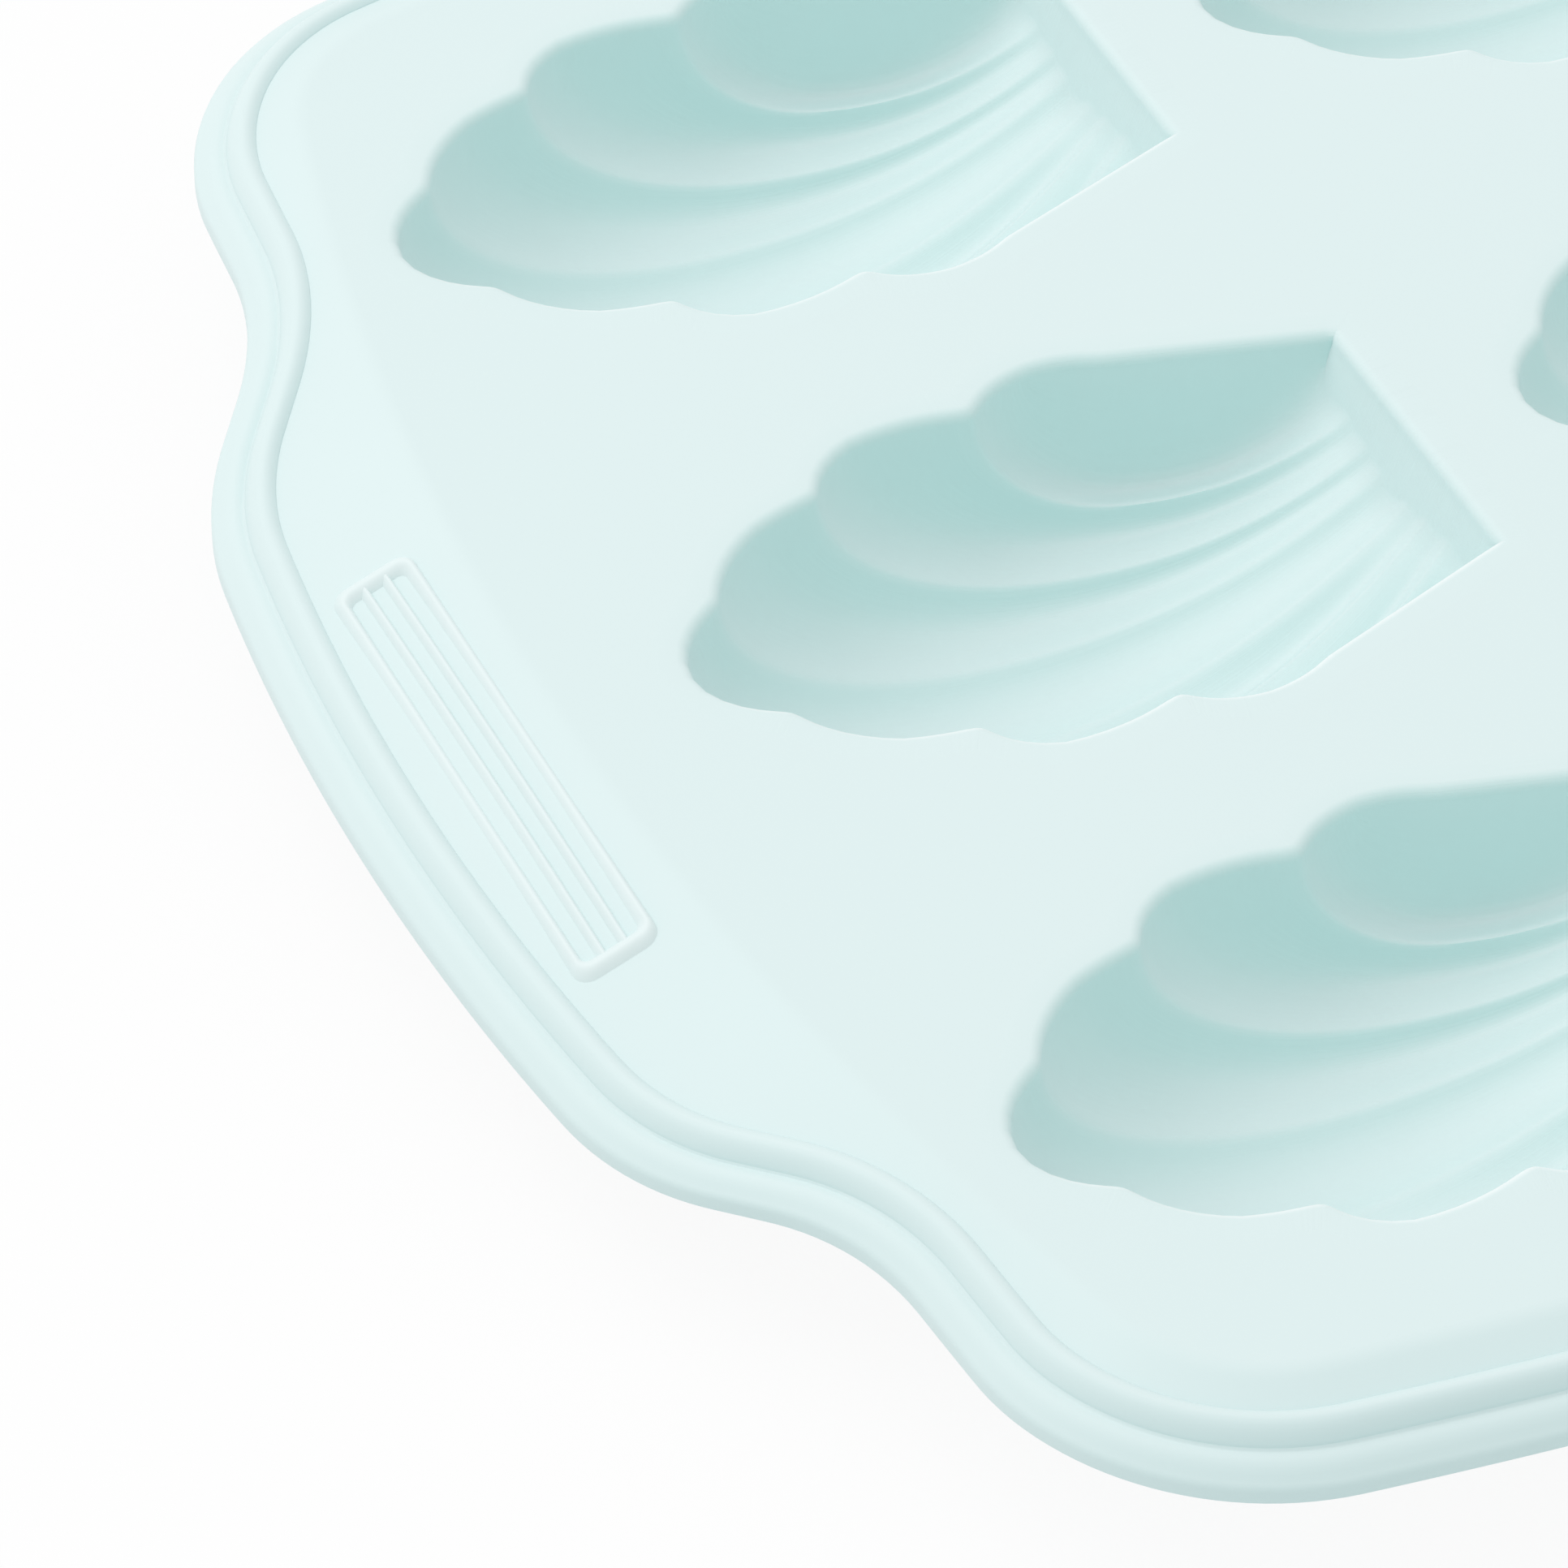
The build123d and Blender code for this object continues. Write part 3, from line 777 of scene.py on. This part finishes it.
links.new(streak.outputs["Fac"], streak_tone.inputs["Fac"])
links.new(streak_tone.outputs["Color"], shader.inputs["Base Color"])
links.new(streak.outputs["Fac"], streak_rough.inputs["Value"])
links.new(streak_rough.outputs["Result"], shader.inputs["Roughness"])
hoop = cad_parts["rim_hoop"]
hoop.data.materials.clear()
hoop.data.materials.append(wire)

# Grips: a frame of low rounded bars stands on each handle, moulded with it, so
# that a wet hand or a glove holds the pan.
grip_size = np.array([7.4, 49.8])
grip_x = 131.25
outer_bar = 1.25
inner_bar = 0.9
end_bar = 2.1
bar_height = 0.75
inner_height = 0.8 * bar_height
bar_round = 0.45
foot_sunk = 0.06
grip_corner = 1.6
inner_corner = 0.6
point_reach = 0.6 * end_bar
point_start = 0.99
corner_points = 7
bar_rows = 13
bar_stations = 41


def rounded_box(size, radius):
    """Closed loop of a rectangle with rounded corners."""
    turns = np.radians(np.linspace(0, 90, corner_points))
    corner = np.array(size) / 2 - radius + radius * np.stack([np.cos(turns), np.sin(turns)], 1)
    half = np.concatenate([corner, (corner * (-1, 1))[::-1]])
    return np.concatenate([half, (half * (1, -1))[::-1], corner[:1]])


def bar_between(name, outer, inner, height):
    """Bar with a rounded top between two lines of plan points, each with its
    height. Its feet are sunk a little, so that the handle's face cuts them."""
    across = np.linspace(0, 1, bar_rows)[:, None]
    top = (0.5 - 0.5 * np.cos(2 * math.pi * across)) ** bar_round * (height + foot_sunk) - foot_sunk
    plan = outer * (1 - across[..., None]) + inner * across[..., None]
    plan, top = (np.concatenate([part, part[:1]]) for part in (plan, top))
    near = nearest_on_deck(plan.reshape(-1, 2)).reshape(plan.shape)
    ground = deck_height - slope * np.hypot(*(plan - near).transpose(2, 0, 1))
    return shaped_grid(name, np.concatenate([plan, (ground + top)[..., None]], 2))


channel = (grip_size[0] - 2 * outer_bar - 2 * inner_bar) / 3
grip_inside = grip_size - 2 * np.array([outer_bar, end_bar])
frame_lines = rounded_box(grip_size, grip_corner), rounded_box(grip_inside, inner_corner)

# the inner bars narrow to a point at both ends, inside the frame
reach = np.concatenate([[-1], np.linspace(-point_start, point_start, bar_stations), [1]])
along = reach[:, None] * (0, grip_inside[1] / 2 + point_reach)
present = (abs(reach) < 1).astype(float)
half_bar = present[:, None] * (inner_bar / 2, 0)
for side, node, name in ((-1, "grip_left", "bars_left"), (1, "grip_right", "bars_right")):
    centre = np.array([side * grip_x, 0])
    outer_line, inner_line = (line + centre for line in frame_lines)
    bars = [bar_between(name, outer_line, inner_line, np.full(len(outer_line), bar_height))]
    for step in (-1, 1):
        middle = along + centre + (step * (channel + inner_bar) / 2, 0)
        bars.append(bar_between(name, middle - half_bar, middle + half_bar, inner_height * present))
    dressed(joined(name, bars), silicone_bar_painted_light, "silicone", node)

# Studio: a white floor under the pan, which looks white to the camera and in
# reflections and still takes the pan's shadow, and soft light from the back left.
floor_size = 12
floor_drop = 0.5 * MM
lamp_place = (-0.6, 0.75, 1.45)
lamp_size = 1.7
bpy.ops.mesh.primitive_plane_add(size=floor_size, location=(0, 0, -floor_drop))
floor = bpy.context.object
floor.name = "studio_floor"
paper = bpy.data.materials.new("floor_paper")
paper.use_nodes = True
nodes, links = paper.node_tree.nodes, paper.node_tree.links
shader = nodes["Principled BSDF"]
shader.inputs["Base Color"].default_value = (0.9, 0.9, 0.9, 1)
shader.inputs["Roughness"].default_value = 0.9
seen = nodes.new("ShaderNodeLightPath")
white = nodes.new("ShaderNodeEmission")
mirrored = nodes.new("ShaderNodeMath")
through = nodes.new("ShaderNodeMath")
seen_share = nodes.new("ShaderNodeMath")
seen_share.operation = "MULTIPLY"
seen_share.inputs[1].default_value = 0.92
mix = nodes.new("ShaderNodeMixShader")
links.new(seen.outputs["Is Camera Ray"], mirrored.inputs[0])
links.new(seen.outputs["Is Glossy Ray"], mirrored.inputs[1])
links.new(mirrored.outputs["Value"], through.inputs[0])
links.new(seen.outputs["Is Transmission Ray"], through.inputs[1])
links.new(through.outputs["Value"], seen_share.inputs[0])
links.new(seen_share.outputs["Value"], mix.inputs["Fac"])
links.new(shader.outputs["BSDF"], mix.inputs[1])
links.new(white.outputs["Emission"], mix.inputs[2])
links.new(mix.outputs["Shader"], nodes["Material Output"].inputs["Surface"])
floor.data.materials.append(paper)

world = bpy.data.worlds.new("studio_air")
bpy.context.scene.world = world
world.use_nodes = True
air = world.node_tree.nodes["Background"]
air.inputs["Color"].default_value = (1, 1, 1, 1)
air.inputs["Strength"].default_value = 0.78

bpy.ops.object.light_add(type="AREA", location=lamp_place)
lamp = bpy.context.object
lamp.data.shape = "DISK"
lamp.data.size = lamp_size
lamp.data.energy = 9.8
lamp.rotation_mode = "QUATERNION"
lamp.rotation_quaternion = (-lamp.location).to_track_quat("-Z", "Y")

# Camera: a long lens from the front left, well above the pan.
camera_place = (-0.3235, -0.4294, 0.4854)
bpy.ops.object.camera_add(location=camera_place)
camera = bpy.context.object
camera.data.lens = 186.4
camera.data.sensor_width = 36
back = np.array([-0.32118, -0.62950, 0.70752])
up = np.array([0.30356, 0.63924, 0.70655])
side = np.cross(up, back)
turn = np.stack([side, up, back], 1)
camera.matrix_world = Matrix.Translation(camera.location) @ Matrix(turn.tolist()).to_4x4()
bpy.context.scene.camera = camera
bpy.context.scene.view_settings.view_transform = "Standard"
